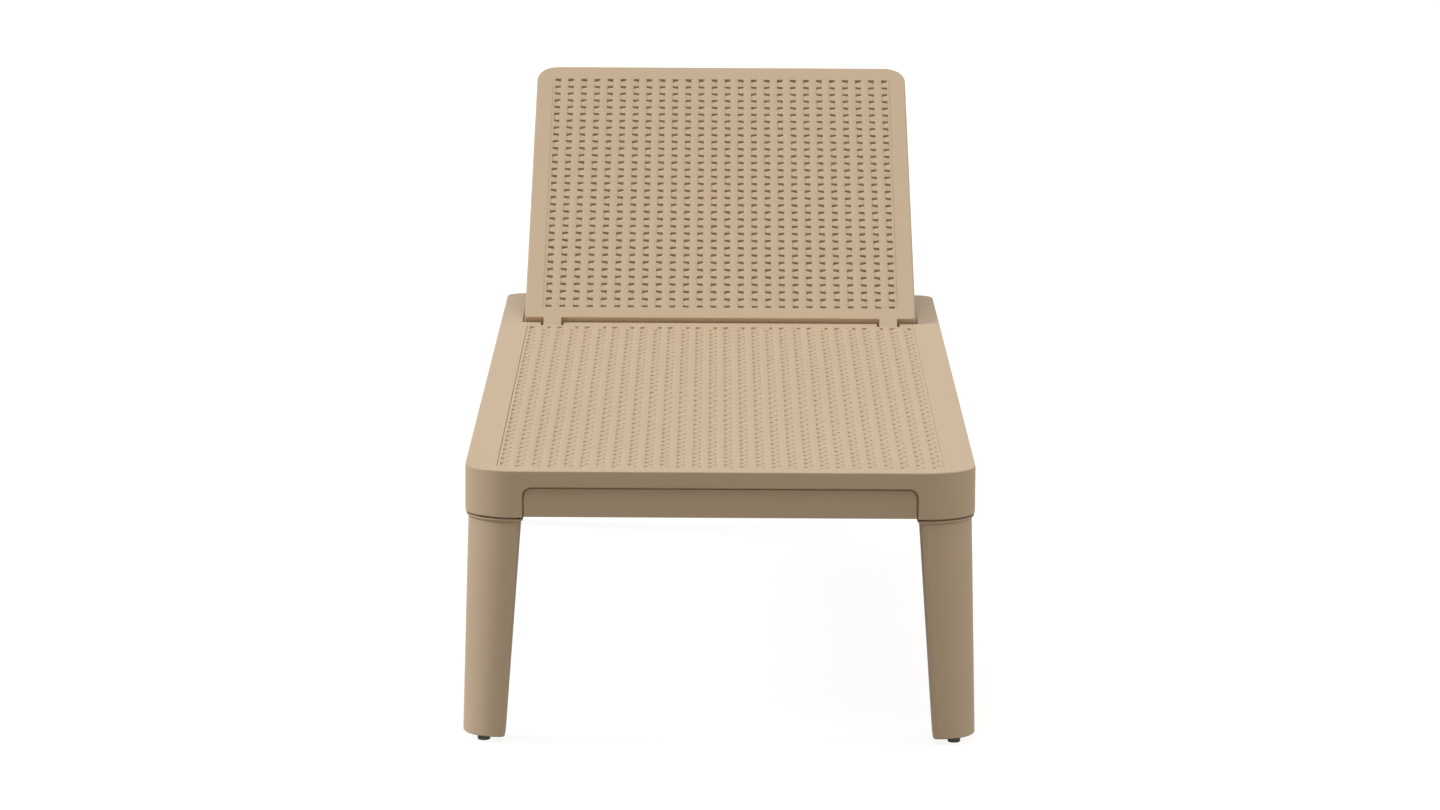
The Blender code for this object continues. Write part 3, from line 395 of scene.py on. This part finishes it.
def new_material(name):
    """A material, its node tree and its shader."""
    material = bpy.data.materials.new(name)
    material.use_nodes = True
    tree = material.node_tree
    return material, tree, tree.nodes["Principled BSDF"]


def add_noise(tree, scale, detail):
    """Noise over an object's own coordinates."""
    place = tree.nodes.new("ShaderNodeTexCoord")
    noise = tree.nodes.new("ShaderNodeTexNoise")
    noise.inputs["Scale"].default_value = scale
    noise.inputs["Detail"].default_value = detail
    tree.links.new(place.outputs["Object"], noise.inputs["Vector"])
    return noise.outputs["Fac"]


def add_range(tree, value, low, high):
    """A value from 0 to 1, brought between two others."""
    spread = tree.nodes.new("ShaderNodeMapRange")
    spread.inputs["To Min"].default_value = low
    spread.inputs["To Max"].default_value = high
    tree.links.new(value, spread.inputs["Value"])
    return spread.outputs["Result"]


def vary(tree, shader, noise, colours, roughness):
    """Lets noise move a shader's colour between two colours and its roughness between two values."""
    tint = tree.nodes.new("ShaderNodeMix")
    tint.data_type = "RGBA"
    tint.inputs["A"].default_value = (*colours[0], 1)
    tint.inputs["B"].default_value = (*colours[1], 1)
    tree.links.new(noise, tint.inputs["Factor"])
    tree.links.new(tint.outputs["Result"], shader.inputs["Base Color"])
    tree.links.new(add_range(tree, noise, *roughness), shader.inputs["Roughness"])


def moulded_resin(name, colours, grain=RESIN_GRAIN):
    """Satin resin: fine mould grain in the surface and a faint cloudiness in colour and gloss."""
    material, tree, shader = new_material(name)
    vary(tree, shader, add_noise(tree, *CLOUDS), colours, RESIN_ROUGHNESS)
    bump = tree.nodes.new("ShaderNodeBump")
    bump.inputs["Strength"].default_value = grain
    bump.inputs["Distance"].default_value = PIT_DEPTH
    tree.links.new(add_noise(tree, *PITS), bump.inputs["Height"])
    tree.links.new(bump.outputs["Normal"], shader.inputs["Normal"])
    return material


def brushed_steel(name, colours):
    """Plain stainless steel with fine turning marks."""
    material, tree, shader = new_material(name)
    shader.inputs["Metallic"].default_value = 1
    vary(tree, shader, add_noise(tree, *TURNING_MARKS), colours, STEEL_ROUGHNESS)
    return material


RESIN = moulded_resin("taupe_resin", RESIN_COLOURS)
FINISHES = {
    "resin": RESIN,
    "painted_tube": moulded_resin("taupe_powder_coat", TUBE_COLOURS, TUBE_GRAIN),
    "grey_plastic": moulded_resin("dark_grey_plastic", PLASTIC_COLOURS),
    "glide_rubber": moulded_resin("dark_grey_rubber", RUBBER_COLOURS, RUBBER_GRAIN),
    "steel": brushed_steel("stainless_steel", STEEL_COLOURS),
}


# Seat


def dish(x, y):
    """How far the seat lies below the plane of its border."""
    across = x / FIELD_HALF
    along = (y - DISH_START) / DISH_LENGTH
    if abs(across) > 1 or not 0 < along < 1:
        return 0
    return DISH_DEPTH * (1 - across ** 2) * math.sin(math.pi * along)


def round_recess_rims(bm):
    """Rounds the sharp edges where the recesses meet the deck's front and sides."""
    rims = []
    for edge in bm.edges:
        middle = (edge.verts[0].co + edge.verts[1].co) / 2 - DECK_TOP
        at_front = middle.y < RIM_REACH and abs(middle.x) < RECESS_HALF + MARGIN
        beside = SIDE_RECESS_START < middle.y < SIDE_RECESS_END
        at_side = beside and abs(middle.x) > DECK_HALF - RIM_REACH
        sharp = len(edge.link_faces) == 2 and edge.calc_face_angle() > RIM_ANGLE
        if sharp and RIM_LOW < middle.z < RIM_HIGH and (at_front or at_side):
            rims.append(edge)
    bmesh.ops.bevel(bm, geom=rims, offset=RECESS_ROUND, segments=RECESS_ROUND_PARTS, affect="EDGES",
                    profile=0.5, material=-1, clamp_overlap=True)


def deepen_faces(bm):
    """Moves the recesses' faces and the floor of the seat's field further in."""
    for point in bm.verts:
        x, y, z = point.co - DECK_TOP
        if abs(y - RECESS_FACE) < WELD and z > SKIRT_FOOT - OVERLAP:
            point.co.y += RECESS_DEEPER
        if abs(abs(x) - DECK_HALF + RECESS_FACE) < WELD and z < -RECESS_TOP + MARGIN:
            point.co.x -= math.copysign(RECESS_DEEPER, x)
        on_field = abs(x) < FIELD_HALF + WELD and DISH_START - WELD < y < FIELD_HEAD + OVERLAP
        if on_field and abs(z + FIELD_SINK + dish(x, y)) < NEAR:
            point.co.z -= FIELD_DEEPER


def close_seam(bm):
    """Brings the seat's rear edge nearer to the backrest and makes it crisper."""
    for point in bm.verts:
        x, y, z = point.co - DECK_TOP
        at_edge = SEAM - SEAM_REACH < y < SEAM_LIP + WELD
        if at_edge and abs(x) < SEAM_HALF and z > SKIRT_FOOT - WELD:
            behind = (SEAM - y) * EDGE_SHARE if y < SEAM else 0
            point.co.y = DECK_TOP.y + SEAM_LIP - behind


def recess_faces(bm):
    """The faces of the recesses in the front, on the left and on the right."""
    front = []
    sides = {-1: [], 1: []}
    for face in bm.faces:
        middle = face.calc_center_median() - DECK_TOP
        if middle.z > -RECESS_TOP or middle.z < SKIRT_FOOT + MARGIN:
            continue
        if face.normal.y < -FACING and abs(middle.y - RECESS_DEPTH) < WELD:
            front.append(face)
        side = 1 if middle.x > 0 else -1
        if face.normal.x * side > FACING and abs(abs(middle.x) - DECK_HALF + RECESS_DEPTH) < WELD:
            sides[side].append(face)
    return front, sides[-1], sides[1]


def line_recess(bm, faces):
    """A narrow groove round a recess's face, along all but its bottom edge."""
    for depth, lift in ((-RECESS_LINE_DEPTH, LINE_LIFT), (RECESS_LINE_DEPTH, 2 * LINE_LIFT)):
        bmesh.ops.inset_region(bm, faces=faces, thickness=RECESS_LINE, depth=depth, use_boundary=True,
                               use_even_offset=True)
        for point in {corner for face in faces for corner in face.verts}:
            if point.co.z - DECK_TOP.z < SKIRT_FOOT + 3 * RECESS_LINE:
                point.co.z = DECK_TOP.z + SKIRT_FOOT + lift


def make_deck():
    """The deck's shell, with its recesses lined and the foot end of the seat's field cut deeper."""
    bm = merged_copy("seat_frame")
    round_recess_rims(bm)
    deepen_faces(bm)
    close_seam(bm)
    bm.normal_update()
    for faces in recess_faces(bm):
        line_recess(bm, faces)
    deck = mesh_object("deck_shell", bm)
    low = (-SEAT_WEAVE_HALF, FIELD_FOOT, -FIELD_SINK - FIELD_DEEPER)
    high = (SEAT_WEAVE_HALF, DISH_START + MARGIN, CUT_ABOVE)
    cut(deck, [(low, high)], DECK_PLACE)
    finish_piece(deck, "frame", RESIN, ["seat_frame"])


def seat_pair(odd):
    """The first two strands of one of the seat's columns."""
    first = SEAT_FIRST_ROW - SEAT_ROW_PITCH / 2
    return strand_pair(SEAT_STRAND, SEAT_SINKS, -1 if odd else 1, first, SEAT_ROW_PITCH)


def make_seat_weave():
    """The seat's strands, its bands and the strip on each side of them, bent to the dish."""
    weave = bmesh.new()
    add_columns(weave, SEAT_COLUMNS, SEAT_ROWS, SEAT_ROW_PITCH, seat_pair)
    for point in weave.verts:
        point.co.y = max(point.co.y, FIELD_FOOT + SEAT_FOOT_GAP)
        if point.co.y > SEAT_LAST_ROW:
            # The last strands end square at the field's head, with flat tops
            point.co.y = FIELD_HEAD
            point.co.z = min(round(point.co.z / SEAT_ROOT), 0) * SEAT_ROOT
    add_bands(weave, SEAT_COLUMNS, SEAT_BAND_WIDTH, FIELD_FOOT, FIELD_HEAD, SEAT_ROOT, SEAT_PARTS_ALONG,
              plain_floor=False)
    for side, gap in EDGE_GAPS:
        outer = FIELD_HALF - gap
        length = FIELD_HEAD - DISH_START - EDGE_SHORTER
        edge, _ = block(outer - SEAT_WEAVE_HALF, length, SEAT_ROOT, 1, SEAT_PARTS_ALONG, plain_floor=False)
        add_bmesh(weave, edge, (side * (SEAT_WEAVE_HALF + outer) / 2, (FIELD_HEAD + DISH_START) / 2, 0))
    for point in weave.verts:
        point.co.z -= dish(point.co.x, point.co.y)
    bmesh.ops.transform(weave, matrix=DECK_PLACE, verts=weave.verts)
    finish_piece(mesh_object("seat_weave", weave), "frame", RESIN)


# Backrest


def trim_foot(bm):
    """Brings the panel's foot edge nearer to the seat and opens a little more gap beside the rails."""
    inverse = BACK_PLACE.inverted()
    for point in bm.verts:
        x, along, height = inverse @ point.co
        if BACK_FOOT_START < along < BACK_FOOT_EDGE:
            along -= BACK_FOOT_SHIFT
            if abs(x) > BACK_FOOT_CORNER:
                x -= math.copysign(BACK_FOOT_NARROWER, x)
            point.co = BACK_PLACE @ Vector((x, along, height))


def make_back_shell():
    """The panel's rim, ribs, racks and lugs, with its woven field cut open and a line down each side."""
    bm = merged_copy("backrest_panel")
    trim_foot(bm)
    shell = mesh_object("back_shell", bm)
    low = (-BACK_FIELD_HALF, BACK_FIELD_FOOT, BACK_FACE - BACK_FIELD_DEPTH)
    high = (BACK_FIELD_HALF, BACK_FIELD_HEAD, BACK_FACE + CUT_ABOVE)
    cut(shell, [(low, high)], BACK_PLACE)
    lines = []
    for middle in (-BACK_LINE, BACK_LINE):
        low = (middle - BACK_LINE_HALF, BACK_FIELD_FOOT - BACK_LINE_FURTHER, BACK_FACE - BACK_LINE_DEPTH)
        high = (middle + BACK_LINE_HALF, BACK_FIELD_HEAD, BACK_FACE + CUT_ABOVE)
        lines.append((low, high))
    cut(shell, lines, BACK_PLACE)
    finish_piece(shell, "backrest", RESIN, ["backrest_panel"])


def back_pair(odd):
    """The first two strands of one of the backrest's columns."""
    first = BACK_FIRST_ROW + BACK_ROW_PITCH / 2 + (SLIT_HEAD - SLIT_FOOT) / 2
    sinks = {-1: BACK_SINK, 1: BACK_SINK}
    return strand_pair(BACK_STRAND, sinks, 1 if odd else -1, first, BACK_ROW_PITCH)


def make_back_weave():
    """The backrest's strands and bands, with open slits between them, and the deeper edge at their head."""
    weave = bmesh.new()
    add_columns(weave, BACK_COLUMNS, BACK_ROWS - 1, BACK_ROW_PITCH, back_pair)
    foot = BACK_FIELD_FOOT - OVERLAP
    head = BACK_FIELD_HEAD + OVERLAP
    add_bands(weave, BACK_COLUMNS, BACK_BAND_WIDTH, foot, head, BACK_BAND_DEPTH, 1, plain_floor=True)
    low = (-BACK_FIELD_HALF, BACK_FIELD_HEAD, HEAD_EDGE_LOW)
    high = (BACK_FIELD_HALF, BACK_FIELD_HEAD + HEAD_EDGE_LENGTH, HEAD_EDGE_HIGH)
    long_box(weave, low, high)
    bmesh.ops.translate(weave, verts=weave.verts, vec=(0, 0, BACK_FACE))
    bmesh.ops.transform(weave, matrix=BACK_PLACE, verts=weave.verts)
    finish_piece(mesh_object("back_weave", weave), "backrest", RESIN)


# Other pieces


def plan_place(point):
    """Where a point lies in plan, rounded so that points above each other agree."""
    return round(point.co.x, 5), round(point.co.y, 5)


def flare_collar(bm):
    """Makes a leg's collar a wider, thinner lip that flares out of the leg, with a dark groove inside it."""
    rim = [point for point in bm.verts if abs(point.co.z - COLLAR_LOW[0]) < NEAR]
    outline = {plan_place(point) for point in rim}
    outer = [point for point in bm.verts if plan_place(point) in outline]
    for axis in (0, 1):
        low = min(point.co[axis] for point in rim)
        high = max(point.co[axis] for point in rim)
        middle = (low + high) / 2
        wider = 1 + 2 * COLLAR_WIDER / (high - low)
        for point in outer:
            point.co[axis] = middle + (point.co[axis] - middle) * wider
    for point in bm.verts:
        for level, new_level in (COLLAR_FOOT, COLLAR_LOW, COLLAR_HIGH):
            if abs(point.co.z - level) < NEAR:
                inside = level == COLLAR_HIGH[0] and point not in outer
                point.co.z = COLLAR_INSIDE if inside else new_level
                break


def make_skins():
    """Smooth copies of the legs, glides, bail, crossbar, brackets, pins, clips and screws."""
    bodies = {node: body for body, nodes in frame["record"]["behaviour"]["bodies"].items() for node in nodes}
    for part in frame["record"]["subparts"]:
        node = part["node"]
        if node in ("seat_frame", "backrest_panel"):
            continue
        bm = merged_copy(node)
        if node.endswith("_leg"):
            flare_collar(bm)
        skin = mesh_object(node + "_skin", bm)
        slot = part["material_slot"]
        finish_piece(skin, bodies[node], FINISHES[slot], [node])


# Floor, world, lights and camera


def seen_by(tree, *rays):
    """1 for a ray of any of the kinds named, and 0 for the others."""
    path = tree.nodes.new("ShaderNodeLightPath")
    seen = path.outputs[rays[0]]
    for ray in rays[1:]:
        either = tree.nodes.new("ShaderNodeMath")
        either.operation = "MAXIMUM"
        tree.links.new(seen, either.inputs[0])
        tree.links.new(path.outputs[ray], either.inputs[1])
        seen = either.outputs["Value"]
    return seen


def plain_floor():
    """A pale floor that a camera or a reflection sees as near white, and that keeps the lounger's shadow."""
    material, tree, shader = new_material("pale_floor")
    shader.inputs["Base Color"].default_value = FLOOR_COLOUR
    shader.inputs["Roughness"].default_value = FLOOR_ROUGHNESS
    shader.inputs["Emission Color"].default_value = WHITE
    glow = tree.nodes.new("ShaderNodeMath")
    glow.operation = "MULTIPLY"
    glow.inputs[1].default_value = FLOOR_GLOW
    tree.links.new(seen_by(tree, "Is Camera Ray", "Is Glossy Ray"), glow.inputs[0])
    tree.links.new(glow.outputs["Value"], shader.inputs["Emission Strength"])
    bm = bmesh.new()
    bmesh.ops.create_grid(bm, x_segments=1, y_segments=1, size=FLOOR_HALF)
    floor = mesh_object("floor", bm)
    floor.data.materials.append(material)


def make_world():
    """Dim even light, which a camera or a reflection sees as white."""
    world = bpy.data.worlds.new("studio")
    bpy.context.scene.world = world
    world.use_nodes = True
    tree = world.node_tree
    background = tree.nodes["Background"]
    background.inputs["Color"].default_value = WHITE
    seen = seen_by(tree, "Is Camera Ray", "Is Transmission Ray", "Is Glossy Ray")
    tree.links.new(add_range(tree, seen, WORLD_LIGHT, 1), background.inputs["Strength"])


def soft_light(name, share, elevation, azimuth, breadth, tint):
    """A broad soft light whose share of full light falls on a face turned to it."""
    lamp = bpy.data.lights.new(name, "SUN")
    lamp.color = tint
    lamp.energy = share * math.pi
    lamp.angle = math.radians(breadth)
    light = bpy.data.objects.new(name, lamp)
    light.rotation_euler = Euler((math.radians(90 - elevation), 0, math.radians(azimuth)))
    bpy.context.scene.collection.objects.link(light)


def make_camera():
    """The photograph's camera."""
    camera = bpy.data.cameras.new("camera")
    camera.sensor_width = SENSOR_WIDTH
    camera.lens = LENS
    camera.clip_end = FARTHEST
    thing = bpy.data.objects.new("camera", camera)
    place = Matrix.Translation(CAMERA_PLACE)
    for axis, degrees in CAMERA_TURNS:
        place = place @ Matrix.Rotation(math.radians(degrees), 4, axis)
    thing.matrix_world = place
    bpy.context.scene.collection.objects.link(thing)
    bpy.context.scene.camera = thing


make_deck()
make_seat_weave()
make_back_shell()
make_back_weave()
make_skins()
plain_floor()
make_world()
for light_name, light_values in LIGHTS.items():
    soft_light(light_name, *light_values)
make_camera()
bpy.context.scene.view_settings.view_transform = "Standard"

bpy.context.view_layer.update()
